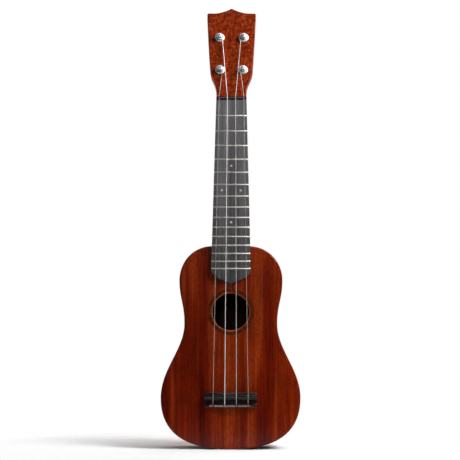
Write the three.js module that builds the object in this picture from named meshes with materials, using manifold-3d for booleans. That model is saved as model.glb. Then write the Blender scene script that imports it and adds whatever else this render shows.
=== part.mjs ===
// Soprano ukulele: a hollow mahogany body of plates and bent sides on glued blocks and linings,
// a one-piece neck and headstock, a fretboard with wire frets, a slotted bridge, four nylon
// strings and four friction pegs that turn.
// Millimetres. +Z runs up the neck, +X is to the right seen from the front, and the front faces
// -Y. The tail of the body touches z = 0, and the whole depth is centred on y = 0.

import * as THREE from 'three';
import { mergeVertices } from 'three/addons/utils/BufferGeometryUtils.js';
import Module from 'manifold-3d';

const wasm = await Module();
wasm.setup();

// ---------------------------------------------------------------- driving dimensions

// Body outline: half-widths, the heights where they are reached, and how far the curve runs on
// straight (its handles) below and above each of them
const BODY_LENGTH = 238.5;
const TAIL = { handle: 28.5 };
const LOWER_BOUT = { half: 82.1, z: 60, below: 56.2, above: 33.6 };
const WAIST = { half: 54.7, z: 146.5, below: 29.9, above: 23.6 };
const UPPER_BOUT = { half: 60.8, z: 197.9, below: 21.7, above: 20.5 };
const SHOULDER = { flatHalf: 20, handle: 26 };
const OUTLINE_STEPS = 11;

// Body thicknesses
const BODY_DEPTH = 60;
const PLATE_THICKNESS = 2;
const SIDE_THICKNESS = 1.8;
const LINING_THICKNESS = 4;
const LINING_HEIGHT = 9;
const NECK_BLOCK_LENGTH = 22;
const TAIL_BLOCK = { top: 16, half: 24 };
const BRIDGE_PLATE = { half: 35, thickness: 2, length: 26, z: 58 };
const BRACE = { width: 6, endThickness: 2, taper: 14, clearance: 1 };
const TOP_BRACES = { upper: { z: 191, height: 8 }, lower: { z: 129, height: 8 } };
const BACK_BRACES = { upper: { z: 192, height: 10 }, lower: { z: 76, height: 10 } };

// Gaps: between glued faces that follow one curve, and between faces on the tilted headstock
const GLUE_GAP = 0.05;
const TURNED_GAP = 0.3;

// Sound hole and the ring let into the soundboard around it
const SOUND_HOLE = { radius: 21.8, z: 160.7 };
const ROSETTE = { inner: 24, outer: 27.2, depth: 0.8 };

// Scale, fretboard and frets
const NUT_Z = 412;
const SCALE_LENGTH = 346;
const SADDLE_SETBACK = 4;
const FRET_COUNT = 15;
const BOARD_THICKNESS = 4.5;
const BOARD_HALF_AT_NUT = 18;
const NUT_HALF = 17.9;
const BOARD_HALF_AT_END = 23.4;
const BOARD_SIDE_END_Z = 209.5;
const BOARD_TIP_Z = 192.4;
const FRET = { height: 0.9, halfWidth: 1, tangHalf: 0.25, tangDepth: 1.6, slotHalf: 0.3, slotDepth: 1.8 };

// Nut, saddle and bridge; heights are above the soundboard's face
const NUT_LENGTH = 3;
const NUT_HEIGHT = 6.6;
const STRING_REST_AT_NUT = 6.1;
const SADDLE_HEIGHT = 9.7;
const SADDLE_HALF_LENGTH = 2.2;
const BRIDGE = { half: 30.8, rear: 49.4, front: 66.2, height: 6.5, wall: 1.1, slotFloor: 3, edge: 0.7 };
const BRIDGE_LIP = { height: 5.5, length: 3.4, edge: 0.8 };
const BRIDGE_CHANNEL_FLOOR = 2.8;
const KNOT_POCKET = { width: 3, length: 1.6 };
const STRING_CLEARANCE = 0.2;

// Neck and headstock
const NECK_DEPTH_AT_NUT = 13;
const NECK_DEPTH_AT_HEEL = 15;
const HEEL = { depth: 56, capLength: 8, sweep: 36, flatness: 0.86 };
const NECK_SECTION_STEPS = 14;
const NECK_RUNOUT = { length: 18, sunk: 0.5, backSunk: 1.5 };
const HEADSTOCK_TILT = THREE.MathUtils.degToRad(12);
const HEADSTOCK_THICKNESS = 11;
const HEADSTOCK = { half: 29.3, length: 114.3, shoulder: 108, corner: 1.7 };

// Friction pegs; distances along the headstock's face and out from it
const PEG = { radius: 3, waist: 2.6, top: 8.2, shoulder: -13.1, tailRadius: 2.4, tailEnd: -24 };
const PEG_TAP = { radius: 1.5, start: -19 };
const STRING_HOLE = { radius: 0.7, height: 5 };
const BUSH = { flange: 5.9, thickness: 1.6, edge: 0.9, barrel: 4, bore: 3.3, depth: 4.5 };
const BUTTON = { collar: 4.2, collarLength: 2.4, half: 9, length: 17, thickness: 8.5, bevel: 1.2 };
const SCREW = { head: 2.6, headHeight: 1.5, shank: 1.2, tip: -20, slotWidth: 0.7, slotDepth: 0.7 };
const ROUND_STEPS = 16;

// Strings from left to right seen from the front: diameter, and the peg that each one winds on.
// Outer strings go to the lower pegs, and the pegs stand at the angles that tuning left them at.
const STRINGS = [
  { name: 'g', diameter: 0.61, pegX: -13.65, pegUp: 34.7, pegTurn: 18 },
  { name: 'c', diameter: 0.91, pegX: -14.5, pegUp: 76.1, pegTurn: -32 },
  { name: 'e', diameter: 0.81, pegX: 14.5, pegUp: 76.1, pegTurn: 40 },
  { name: 'a', diameter: 0.61, pegX: 13.65, pegUp: 34.7, pegTurn: -12 },
];
const STRING_SPACING_AT_NUT = 9.8;
const STRING_SPACING_AT_SADDLE = 13.65;
const STRING_SIDES = 8;
const WINDING = { turns: 2, height: 2.75, steps: 11 };

// ---------------------------------------------------------------- datum planes

const THICKEST_STRING = Math.max(...STRINGS.map((string) => string.diameter));
const FRONT_Y = (SADDLE_HEIGHT + GLUE_GAP + THICKEST_STRING - BODY_DEPTH) / 2;
const BACK_Y = FRONT_Y + BODY_DEPTH;
const SADDLE_Z = NUT_Z - SCALE_LENGTH - SADDLE_SETBACK;
const INSIDE_FRONT_Y = FRONT_Y + PLATE_THICKNESS;
const INSIDE_BACK_Y = BACK_Y - PLATE_THICKNESS;
const HEADSTOCK_START_Z = NUT_Z + NUT_LENGTH;

// ---------------------------------------------------------------- finishes

const FINISH = {
  mahogany: { color: '#6b2410', roughness: 0.35, metalness: 0 },
  neckMahogany: { color: '#75301a', roughness: 0.4, metalness: 0 },
  rawMahogany: { color: '#8a5236', roughness: 0.8, metalness: 0 },
  spruce: { color: '#c9a877', roughness: 0.8, metalness: 0 },
  rosewood: { color: '#3f3c3f', roughness: 0.55, metalness: 0 },
  bridgeRosewood: { color: '#2c1a18', roughness: 0.4, metalness: 0 },
  inlay: { color: '#3a2416', roughness: 0.5, metalness: 0 },
  blackPlastic: { color: '#15161a', roughness: 0.2, metalness: 0 },
  nickelSilver: { color: '#c9c3b5', roughness: 0.3, metalness: 1 },
  chrome: { color: '#d9dcdf', roughness: 0.1, metalness: 1 },
  nylon: { color: '#e9e4df', roughness: 0.25, metalness: 0 },
  pegButton: { color: '#1b1a1c', roughness: 0.3, metalness: 0 },
};

const ukulele = new THREE.Group();

function addPiece(parent, name, geometry, finish) {
  const mesh = new THREE.Mesh(geometry, new THREE.MeshStandardMaterial(FINISH[finish]));
  mesh.name = name;
  parent.add(mesh);
  return mesh;
}

// ---------------------------------------------------------------- solids

function toSolid(geometry) {
  const bare = geometry.clone();
  bare.deleteAttribute('normal');
  bare.deleteAttribute('uv');
  const merged = mergeVertices(bare, 1e-4);
  return new wasm.Manifold(new wasm.Mesh({
    numProp: 3,
    vertProperties: new Float32Array(merged.attributes.position.array),
    triVerts: new Uint32Array(merged.index.array),
  }));
}

function toGeometry(solid) {
  const { vertProperties, triVerts } = solid.getMesh();
  const geometry = new THREE.BufferGeometry();
  geometry.setAttribute('position', new THREE.BufferAttribute(vertProperties, 3));
  geometry.setIndex(new THREE.BufferAttribute(triVerts, 1));
  geometry.computeVertexNormals();
  return geometry;
}

function cut(geometry, tools) {
  return toGeometry(tools.reduce((solid, tool) => solid.subtract(toSolid(tool)), toSolid(geometry)));
}

function box(x, y, z, [cx, cy, cz]) {
  return new THREE.BoxGeometry(x, y, z).translate(cx, cy, cz);
}

// A shape drawn in the front view (x, z), as a plate from frontY back to backY
function plate(shape, frontY, backY) {
  const geometry = new THREE.ExtrudeGeometry(shape, { depth: backY - frontY, bevelEnabled: false });
  return geometry.rotateX(Math.PI / 2).translate(0, backY, 0);
}

// A shape drawn in the side view (height above the soundboard, z), as a bar across x
function crossBar(points, halfWidth) {
  const shape = new THREE.Shape(points.map(([height, z]) => new THREE.Vector2(FRONT_Y - height, z)));
  const geometry = new THREE.ExtrudeGeometry(shape, { depth: 2 * halfWidth, bevelEnabled: false });
  const toCross = new THREE.Matrix4().makeBasis(
    new THREE.Vector3(0, 1, 0),
    new THREE.Vector3(0, 0, 1),
    new THREE.Vector3(1, 0, 0),
  );
  return geometry.applyMatrix4(toCross).translate(-halfWidth, 0, 0);
}

function mirrored(points) {
  return points.map((point) => new THREE.Vector2(-point.x, point.y)).reverse();
}

function circle(radius, x, z) {
  return new THREE.Path().absarc(x, z, radius, 0, 2 * Math.PI, false);
}

// A turned piece about the local Z axis, from [radius, height] pairs
function turned(profile) {
  const points = profile.map(([radius, height]) => new THREE.Vector2(radius, height));
  return new THREE.LatheGeometry(points, ROUND_STEPS).rotateX(Math.PI / 2);
}

// ---------------------------------------------------------------- body outline

// Right half of the outline, from the middle of the tail round to the middle of the neck joint
function halfOutline() {
  const path = new THREE.Path();
  path.moveTo(0, 0);
  const joint = { half: SHOULDER.flatHalf, z: BODY_LENGTH };
  path.bezierCurveTo(
    TAIL.handle, 0, LOWER_BOUT.half, LOWER_BOUT.z - LOWER_BOUT.below, LOWER_BOUT.half, LOWER_BOUT.z,
  );
  path.bezierCurveTo(
    LOWER_BOUT.half, LOWER_BOUT.z + LOWER_BOUT.above, WAIST.half, WAIST.z - WAIST.below, WAIST.half, WAIST.z,
  );
  path.bezierCurveTo(
    WAIST.half, WAIST.z + WAIST.above,
    UPPER_BOUT.half, UPPER_BOUT.z - UPPER_BOUT.below,
    UPPER_BOUT.half, UPPER_BOUT.z,
  );
  path.bezierCurveTo(
    UPPER_BOUT.half, UPPER_BOUT.z + UPPER_BOUT.above,
    joint.half + SHOULDER.handle, joint.z,
    joint.half, joint.z,
  );
  return [...path.getPoints(OUTLINE_STEPS), new THREE.Vector2(0, joint.z)];
}

// The half outline moved inwards; its two ends stay on the middle plane
function insetOutline(distance) {
  const outline = halfOutline();
  return outline.map((point, i) => {
    const before = outline[Math.max(i - 1, 0)];
    const after = outline[Math.min(i + 1, outline.length - 1)];
    const onMiddle = i === 0 || i === outline.length - 1;
    const along = onMiddle ? new THREE.Vector2(i === 0 ? 1 : -1, 0) : after.clone().sub(before).normalize();
    return new THREE.Vector2(point.x - along.y * distance, point.y + along.x * distance);
  });
}

function bodyShape() {
  const right = halfOutline();
  return new THREE.Shape([...right, ...mirrored(right).slice(1, -1)]);
}

function soundboard() {
  const shape = bodyShape();
  shape.holes.push(circle(SOUND_HOLE.radius, 0, SOUND_HOLE.z));
  const { inner, outer, depth } = ROSETTE;
  const channel = rosetteRing(inner - GLUE_GAP, outer + GLUE_GAP, depth + GLUE_GAP, 0.5);
  return cut(plate(shape, FRONT_Y, INSIDE_FRONT_Y), [channel]);
}

function rosetteRing(inner, outer, depth, proud = 0) {
  const front = FRONT_Y - proud;
  const back = FRONT_Y + depth;
  const profile = [[inner, front], [outer, front], [outer, back], [inner, back], [inner, front]];
  const points = profile.map(([radius, y]) => new THREE.Vector2(radius, y));
  return new THREE.LatheGeometry(points, 2 * ROUND_STEPS).translate(0, 0, SOUND_HOLE.z);
}

// One bent strip on the right half, following the outline between two insets, where the outline
// is at least startX from the middle
function bentStrip(outerInset, innerInset, startX) {
  const outer = insetOutline(outerInset);
  const inner = insetOutline(innerInset);
  const isInStrip = (point, i) => outer[i].x >= startX;
  const around = [...outer.filter(isInStrip), ...inner.filter(isInStrip).reverse()];
  return around.map((point) => new THREE.Vector2(Math.max(point.x, GLUE_GAP), point.y));
}

function addSidesAndLinings() {
  const side = bentStrip(0, SIDE_THICKNESS, 0);
  const liningOuter = SIDE_THICKNESS + GLUE_GAP;
  const lining = bentStrip(liningOuter, liningOuter + LINING_THICKNESS, SHOULDER.flatHalf + 1);
  for (const [hand, strip, band] of [
    ['left', mirrored(side), mirrored(lining)],
    ['right', side, lining],
  ]) {
    const wall = plate(new THREE.Shape(strip), INSIDE_FRONT_Y, INSIDE_BACK_Y);
    addPiece(ukulele, `side_${hand}`, wall, 'mahogany');
    const shape = new THREE.Shape(band);
    const top = plate(shape, INSIDE_FRONT_Y, INSIDE_FRONT_Y + LINING_HEIGHT);
    const back = plate(shape, INSIDE_BACK_Y - LINING_HEIGHT, INSIDE_BACK_Y);
    addPiece(ukulele, `lining_top_${hand}`, top, 'rawMahogany');
    addPiece(ukulele, `lining_back_${hand}`, back, 'rawMahogany');
  }
}

// ---------------------------------------------------------------- blocks and bracing

function neckBlock() {
  const depth = INSIDE_BACK_Y - INSIDE_FRONT_Y;
  const y = (INSIDE_BACK_Y + INSIDE_FRONT_Y) / 2;
  const z = BODY_LENGTH - SIDE_THICKNESS - GLUE_GAP - NECK_BLOCK_LENGTH / 2;
  return box(2 * SHOULDER.flatHalf, depth, NECK_BLOCK_LENGTH, [0, y, z]);
}

function tailBlock() {
  const inside = insetOutline(SIDE_THICKNESS + GLUE_GAP);
  const curved = inside.filter((point) => point.x < TAIL_BLOCK.half && point.y < TAIL_BLOCK.top);
  const right = [...curved, new THREE.Vector2(curved[curved.length - 1].x, TAIL_BLOCK.top)];
  return plate(new THREE.Shape([...right, ...mirrored(right).slice(0, -1)]), INSIDE_FRONT_Y, INSIDE_BACK_Y);
}

// Free half-width between the linings near height z
function insideHalfWidth(z) {
  const inside = insetOutline(SIDE_THICKNESS + LINING_THICKNESS + BRACE.clearance);
  const outlineStep = 11;
  const near = inside.filter((point) => Math.abs(point.y - z) < outlineStep && point.x > SHOULDER.flatHalf);
  return Math.min(...near.map((point) => point.x));
}

// A bar glued across a plate, with thinned ends; side is 1 on the soundboard, where it stands
// towards the back, and -1 on the back plate
function brace({ z, height }, plateY, side) {
  const { width, endThickness, taper } = BRACE;
  const half = insideHalfWidth(z);
  const corners = [
    [-half, 0], [half, 0], [half, endThickness],
    [half - taper, height], [taper - half, height], [-half, endThickness],
  ];
  const shape = new THREE.Shape(corners.map(([x, y]) => new THREE.Vector2(x, plateY + side * y)));
  const bar = new THREE.ExtrudeGeometry(shape, { depth: width, bevelEnabled: false });
  return bar.translate(0, 0, z - width / 2);
}

function addBodyInside() {
  addPiece(ukulele, 'neck_block', neckBlock(), 'rawMahogany');
  addPiece(ukulele, 'tail_block', tailBlock(), 'rawMahogany');
  const { half, thickness, length, z } = BRIDGE_PLATE;
  const bridgePlate = box(2 * half, thickness, length, [0, INSIDE_FRONT_Y + thickness / 2, z]);
  addPiece(ukulele, 'bridge_plate', bridgePlate, 'spruce');
  for (const place of ['upper', 'lower']) {
    addPiece(ukulele, `top_brace_${place}`, brace(TOP_BRACES[place], INSIDE_FRONT_Y, 1), 'spruce');
    addPiece(ukulele, `back_brace_${place}`, brace(BACK_BRACES[place], INSIDE_BACK_Y, -1), 'spruce');
  }
}

// ---------------------------------------------------------------- neck and headstock

function boardHalfWidth(z) {
  const share = (NUT_Z - z) / (NUT_Z - BOARD_SIDE_END_Z);
  return THREE.MathUtils.lerp(BOARD_HALF_AT_NUT, BOARD_HALF_AT_END, share);
}

// One cross-section of the neck, flat towards the front and round behind. A flatness below 1
// cuts the round short, which leaves the flat cap of the heel.
function neckSection(z, halfWidth, front, depth, flatness) {
  const ring = [];
  for (let i = 0; i <= NECK_SECTION_STEPS; i += 1) {
    const angle = (Math.PI * i) / NECK_SECTION_STEPS;
    const reach = Math.min(depth, (depth / flatness) * Math.sin(angle));
    ring.push(new THREE.Vector3(halfWidth * Math.cos(angle), front + reach, z));
  }
  return ring;
}

// A closed body through equal rings of points, which run up z
function loft(rings) {
  const count = rings[0].length;
  const flat = rings[0].map((point) => new THREE.Vector2(point.x, point.y));
  const capFaces = THREE.ShapeUtils.triangulateShape(flat, []);
  const top = (rings.length - 1) * count;
  const index = [];
  for (const [a, b, c] of capFaces) {
    index.push(a, c, b, top + a, top + b, top + c);
  }
  for (let r = 0; r < rings.length - 1; r += 1) {
    for (let i = 0; i < count; i += 1) {
      const a = r * count + i;
      const b = r * count + ((i + 1) % count);
      index.push(a, b, b + count, a, b + count, a + count);
    }
  }
  const geometry = new THREE.BufferGeometry().setFromPoints(rings.flat());
  geometry.setIndex(index);
  return geometry;
}

function neckRings() {
  const heelZ = BODY_LENGTH + GLUE_GAP;
  const sweepStart = heelZ + HEEL.capLength;
  const sweep = new THREE.CubicBezierCurve(
    new THREE.Vector2(sweepStart, HEEL.depth),
    new THREE.Vector2(sweepStart + 0.14 * HEEL.sweep, 0.6 * HEEL.depth),
    new THREE.Vector2(sweepStart + 0.25 * HEEL.sweep, NECK_DEPTH_AT_HEEL + 1),
    new THREE.Vector2(sweepStart + HEEL.sweep, NECK_DEPTH_AT_HEEL),
  );
  const rings = [neckSection(heelZ, boardHalfWidth(heelZ), FRONT_Y, HEEL.depth, HEEL.flatness)];
  const sweepSteps = 8;
  for (const point of sweep.getPoints(sweepSteps)) {
    const share = (point.x - sweepStart) / HEEL.sweep;
    const flatness = THREE.MathUtils.lerp(HEEL.flatness, 1, share);
    rings.push(neckSection(point.x, boardHalfWidth(point.x), FRONT_Y, point.y, flatness));
  }
  rings.push(neckSection(NUT_Z, BOARD_HALF_AT_NUT, FRONT_Y, NECK_DEPTH_AT_NUT, 1));
  rings.push(neckSection(HEADSTOCK_START_Z, NUT_HALF, FRONT_Y, NECK_DEPTH_AT_NUT, 1));
  // Past the nut the round back runs out into the flat back of the headstock
  const { length, sunk, backSunk } = NECK_RUNOUT;
  for (const share of [0.35, 0.7, 1]) {
    const front = FRONT_Y + share * length * Math.tan(HEADSTOCK_TILT) + sunk;
    const depth = THREE.MathUtils.lerp(NECK_DEPTH_AT_NUT - sunk, HEADSTOCK_THICKNESS - backSunk, share);
    rings.push(neckSection(HEADSTOCK_START_Z + share * length, NUT_HALF - sunk, front, depth, 1));
  }
  return rings;
}

// Local frame of the headstock: X across, Y up along its face, Z straight out of the face
function placeOnHeadstock(object) {
  object.position.set(0, FRONT_Y, HEADSTOCK_START_Z);
  object.rotation.x = Math.PI / 2 - HEADSTOCK_TILT;
  object.updateMatrix();
  return object;
}

// Flared in an S-curve above the nut, then nearly straight, with a low pointed crown
function headstockShape() {
  const { half, length, shoulder, corner } = HEADSTOCK;
  const path = new THREE.Path();
  path.moveTo(NUT_HALF, 0);
  path.lineTo(NUT_HALF, 4);
  path.bezierCurveTo(NUT_HALF + 0.1, 19, half - 4.7, 22, half - 3.9, 34);
  path.quadraticCurveTo(half - 2.3, 52, half, shoulder - 8);
  path.lineTo(half, shoulder - corner);
  path.quadraticCurveTo(half, shoulder, half - corner, shoulder);
  path.lineTo(20, shoulder);
  path.bezierCurveTo(12, shoulder + 0.6, 5, shoulder + 3.6, 0.4, length - 0.1);
  path.lineTo(0, length);
  const right = path.getPoints(7);
  return new THREE.Shape([...right, ...mirrored(right).slice(1)]);
}

function neck() {
  const shape = headstockShape();
  for (const { pegX, pegUp } of STRINGS) {
    shape.holes.push(circle(BUSH.barrel + TURNED_GAP, pegX, pegUp));
  }
  const curveSegments = ROUND_STEPS / 2;
  const options = { depth: HEADSTOCK_THICKNESS, bevelEnabled: false, curveSegments };
  const blank = new THREE.ExtrudeGeometry(shape, options);
  blank.translate(0, 0, -HEADSTOCK_THICKNESS);
  blank.applyMatrix4(placeOnHeadstock(new THREE.Object3D()).matrix);
  return toGeometry(toSolid(loft(neckRings())).add(toSolid(blank)));
}

// ---------------------------------------------------------------- fretboard, frets and nut

function fretZ(number) {
  return NUT_Z - SCALE_LENGTH * (1 - 2 ** (-number / 12));
}

function fretboard() {
  const path = new THREE.Path();
  path.moveTo(0, BOARD_TIP_Z);
  path.bezierCurveTo(4, 197.2, 12.5, 196.8, 19.5, 203.2);
  path.quadraticCurveTo(BOARD_HALF_AT_END, 205.5, BOARD_HALF_AT_END, BOARD_SIDE_END_Z);
  const right = [...path.getPoints(8), new THREE.Vector2(BOARD_HALF_AT_NUT, NUT_Z - GLUE_GAP)];
  const shape = new THREE.Shape([...right, ...mirrored(right).slice(0, -1)]);
  const top = FRONT_Y - BOARD_THICKNESS;
  const slots = [];
  for (let n = 1; n <= FRET_COUNT; n += 1) {
    slots.push(box(60, 2 * FRET.slotDepth, 2 * FRET.slotHalf, [0, top, fretZ(n)]));
  }
  return cut(plate(shape, top, FRONT_Y), slots);
}

function addFrets() {
  const { height, halfWidth, tangHalf, tangDepth } = FRET;
  for (let n = 1; n <= FRET_COUNT; n += 1) {
    const z = fretZ(n);
    const section = [
      [0, -halfWidth], [0.5 * height, -0.85 * halfWidth], [height, -0.4 * halfWidth],
      [height, 0.4 * halfWidth], [0.5 * height, 0.85 * halfWidth], [0, halfWidth],
      [0, tangHalf], [-tangDepth, tangHalf], [-tangDepth, -tangHalf], [0, -tangHalf],
    ].map(([up, along]) => [BOARD_THICKNESS + up, z + along]);
    const name = `fret_${String(n).padStart(2, '0')}`;
    addPiece(ukulele, name, crossBar(section, boardHalfWidth(z) - 0.1), 'nickelSilver');
  }
}

function stringXAtNut(i) {
  return (i - 1.5) * STRING_SPACING_AT_NUT;
}

function stringXAtSaddle(i) {
  return (i - 1.5) * STRING_SPACING_AT_SADDLE;
}

function nut() {
  const edge = 0.4;
  const profile = [[-NUT_HALF, 0], [-NUT_HALF, NUT_HEIGHT - edge], [edge - NUT_HALF, NUT_HEIGHT]];
  STRINGS.forEach(({ diameter }, i) => {
    const groove = diameter / 2 + STRING_CLEARANCE / 2;
    const x = stringXAtNut(i);
    profile.push([x - groove, NUT_HEIGHT], [x - groove, STRING_REST_AT_NUT]);
    profile.push([x + groove, STRING_REST_AT_NUT], [x + groove, NUT_HEIGHT]);
  });
  profile.push([NUT_HALF - edge, NUT_HEIGHT], [NUT_HALF, NUT_HEIGHT - edge], [NUT_HALF, 0]);
  const shape = new THREE.Shape(profile.map(([x, up]) => new THREE.Vector2(x, FRONT_Y - up)));
  return new THREE.ExtrudeGeometry(shape, { depth: NUT_LENGTH, bevelEnabled: false }).translate(0, 0, NUT_Z);
}

// ---------------------------------------------------------------- bridge and saddle

// A block with a slot for the saddle, a channel behind it, and a rear lip that the strings are
// threaded down through, each with a pocket for its knot
function bridge() {
  const { half, rear, front, height, wall, slotFloor, edge } = BRIDGE;
  const floor = BRIDGE_CHANNEL_FLOOR;
  const lip = BRIDGE_LIP;
  const slotFront = SADDLE_Z + SADDLE_HALF_LENGTH + GLUE_GAP;
  const slotRear = SADDLE_Z - SADDLE_HALF_LENGTH - GLUE_GAP;
  const lipFront = rear + lip.length;
  const hollow = 0.4;
  const block = crossBar([
    [0, rear], [lip.height - lip.edge, rear], [lip.height, rear + lip.edge], [lip.height, lipFront],
    [floor, lipFront + hollow], [floor, slotRear - wall - hollow], [height - hollow, slotRear - wall],
    [height - hollow, slotRear], [slotFloor, slotRear], [slotFloor, slotFront], [height, slotFront],
    [height, front - edge], [height - edge, front], [0, front],
  ], half);
  const cutHeight = 2 * (lip.height - floor);
  const cuts = [];
  STRINGS.forEach(({ diameter }, i) => {
    const at = [stringXAtSaddle(i), FRONT_Y - lip.height, rear];
    cuts.push(box(diameter + 2 * STRING_CLEARANCE, cutHeight, 2 * (lip.length + hollow), at));
    cuts.push(box(KNOT_POCKET.width, cutHeight, 2 * KNOT_POCKET.length, at));
  });
  return cut(block, cuts);
}

function saddle() {
  const floor = BRIDGE.slotFloor + GLUE_GAP;
  const half = SADDLE_HALF_LENGTH;
  const section = [
    [SADDLE_HEIGHT - 1.9, -half], [SADDLE_HEIGHT - 0.6, -1.5], [SADDLE_HEIGHT, -0.7], [SADDLE_HEIGHT, 0.7],
    [SADDLE_HEIGHT - 0.6, 1.6], [SADDLE_HEIGHT - 1.9, half], [floor, half], [floor, -half],
  ].map(([up, along]) => [up, SADDLE_Z + along]);
  return crossBar(section, BRIDGE.half);
}

// ---------------------------------------------------------------- strings

// A curve through listed points, which an extrusion follows vertex by vertex
class Route extends THREE.Curve {
  constructor(points) {
    super();
    this.points = points;
  }

  getPoint(t) {
    const place = t * (this.points.length - 1);
    const i = Math.min(Math.floor(place), this.points.length - 2);
    return this.points[i].clone().lerp(this.points[i + 1], place - i);
  }

  getPointAt(u) {
    return this.getPoint(u);
  }

  getTangentAt(u) {
    const i = Math.round(u * (this.points.length - 1));
    const into = this.points[i].clone().sub(this.points[Math.max(i - 1, 0)]).normalize();
    const out = this.points[Math.min(i + 1, this.points.length - 1)].clone().sub(this.points[i]).normalize();
    return into.add(out).normalize();
  }
}

// Straight from its knot behind the bridge over saddle and nut to its post, then round the post
function stringRoute(i) {
  const { diameter, pegX, pegUp } = STRINGS[i];
  const radius = diameter / 2;
  const xSaddle = stringXAtSaddle(i);
  const xNut = stringXAtNut(i);
  const overSaddle = SADDLE_HEIGHT + radius + GLUE_GAP;
  const overNut = STRING_REST_AT_NUT + radius + GLUE_GAP;
  const inLip = BRIDGE_CHANNEL_FLOOR + radius + 0.5;
  const route = [
    [xSaddle, inLip, BRIDGE.rear + 0.9],
    [xSaddle, inLip, BRIDGE.rear + 2.2],
    [xSaddle, inLip + 0.7, BRIDGE.rear + 3.8],
    [xSaddle, overSaddle - 0.4, SADDLE_Z - 1.8],
    [xSaddle, overSaddle, SADDLE_Z - 0.8],
    [xSaddle, overSaddle, SADDLE_Z + 0.8],
    [xNut, overNut, NUT_Z],
    [xNut, overNut, HEADSTOCK_START_Z],
  ].map(([x, up, z]) => new THREE.Vector3(x, FRONT_Y - up, z));

  const headstock = placeOnHeadstock(new THREE.Object3D()).matrix;
  const leave = route[route.length - 1].clone().applyMatrix4(headstock.clone().invert());
  const toNut = new THREE.Vector2(leave.x - pegX, leave.y - pegUp);
  const coilRadius = PEG.waist + STRING_CLEARANCE / 2 + radius;
  const inwards = pegX < 0 ? 1 : -1;
  const start = toNut.angle() + inwards * Math.acos(coilRadius / toNut.length());
  const pitch = diameter + GLUE_GAP;
  for (let k = 0; k <= WINDING.turns * WINDING.steps; k += 1) {
    const turn = k / WINDING.steps;
    const angle = start + inwards * 2 * Math.PI * turn;
    const onCoil = new THREE.Vector3(
      pegX + coilRadius * Math.cos(angle),
      pegUp + coilRadius * Math.sin(angle),
      WINDING.height + pitch * turn,
    );
    route.push(onCoil.applyMatrix4(headstock));
  }
  return route;
}

function addStrings() {
  STRINGS.forEach(({ name, diameter }, i) => {
    const route = stringRoute(i);
    const corners = [];
    for (let k = 0; k < STRING_SIDES; k += 1) {
      const angle = (2 * Math.PI * (k + 0.5)) / STRING_SIDES;
      corners.push(new THREE.Vector2(Math.cos(angle), Math.sin(angle)).multiplyScalar(diameter / 2));
    }
    const options = { steps: route.length - 1, extrudePath: new Route(route), bevelEnabled: false };
    const geometry = new THREE.ExtrudeGeometry(new THREE.Shape(corners), options);
    addPiece(ukulele, `string_${name}`, geometry, 'nylon');
  });
}

// ---------------------------------------------------------------- friction pegs

// Turned post and shaft in one: cross-drilled above for the string, tapped behind for the screw
function pegShaft() {
  const { radius, waist, top, shoulder, tailRadius, tailEnd } = PEG;
  const shaft = turned([
    [0, PEG_TAP.start], [PEG_TAP.radius, PEG_TAP.start], [PEG_TAP.radius, tailEnd], [tailRadius, tailEnd],
    [tailRadius, shoulder], [radius, shoulder], [radius, 1.4], [waist, 2.1], [waist, top - 2.4],
    [radius, top - 1.7], [radius, top - 0.9], [radius - 0.8, top - 0.2], [0, top],
  ]);
  const drill = new THREE.CylinderGeometry(STRING_HOLE.radius, STRING_HOLE.radius, 3 * radius, 8);
  return cut(shaft, [drill.rotateZ(Math.PI / 2).translate(0, 0, STRING_HOLE.height)]);
}

// Flanged bush; direction is 1 for the one pressed in from the front, -1 for the rear one
function pegBush(seat, direction) {
  const { flange, thickness, edge, barrel, bore, depth } = BUSH;
  const profile = [
    [bore, -depth], [barrel, -depth], [barrel, 0], [flange, 0],
    [flange, thickness - edge], [flange - edge, thickness], [bore, thickness], [bore, -depth],
  ].map(([radius, out]) => [radius, seat + direction * out]);
  return turned(direction > 0 ? profile : profile.reverse());
}

// Flat oval thumb button with a collar, counterbored for the shaft's tail and its screw
function pegButton() {
  const { collar, collarLength, half, length, thickness, bevel } = BUTTON;
  const front = PEG.shoulder - TURNED_GAP;
  const path = new THREE.Path();
  path.moveTo(0, 0);
  path.lineTo(collar, 0);
  path.lineTo(collar, collarLength);
  path.bezierCurveTo(collar + 1, 2 * collarLength, half, 2 * collarLength, half, 0.6 * length);
  path.bezierCurveTo(half, 0.85 * length, collar + 2, length, collar, length);
  path.lineTo(0, length);
  const right = path.getPoints(5);
  const blank = new THREE.ExtrudeGeometry(new THREE.Shape([...right, ...mirrored(right).slice(1, -1)]), {
    depth: thickness - 2 * bevel,
    bevelThickness: bevel,
    bevelSize: bevel,
    bevelOffset: -bevel,
    bevelSegments: 1,
  });
  blank.translate(0, 0, bevel - thickness / 2).rotateX(-Math.PI / 2).translate(0, 0, front);
  const past = 1;
  const boreRadius = PEG.tailRadius + TURNED_GAP;
  const boreEnd = PEG.tailEnd - TURNED_GAP;
  const exit = front - length - past;
  const shaftBore = turned([
    [0, boreEnd], [boreRadius, boreEnd], [boreRadius, front + past], [0, front + past],
  ]);
  const screwBore = turned([[0, exit], [PEG_TAP.radius, exit], [PEG_TAP.radius, front], [0, front]]);
  return cut(blank, [shaftBore, screwBore]);
}

// Slotted round-head screw that draws the button up on its shaft and sets the friction
function pegScrew() {
  const { head, headHeight, shank, tip, slotWidth, slotDepth } = SCREW;
  const seat = PEG.shoulder - 2 * TURNED_GAP - BUTTON.length;
  const end = seat - headHeight;
  const screw = turned([
    [0, end], [0.65 * head, end + 0.3], [head, seat - 0.3], [head, seat],
    [shank, seat], [shank, tip], [0, tip],
  ]);
  return cut(screw, [box(3 * head, slotWidth, 2 * slotDepth, [0, 0, end])]);
}

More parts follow.
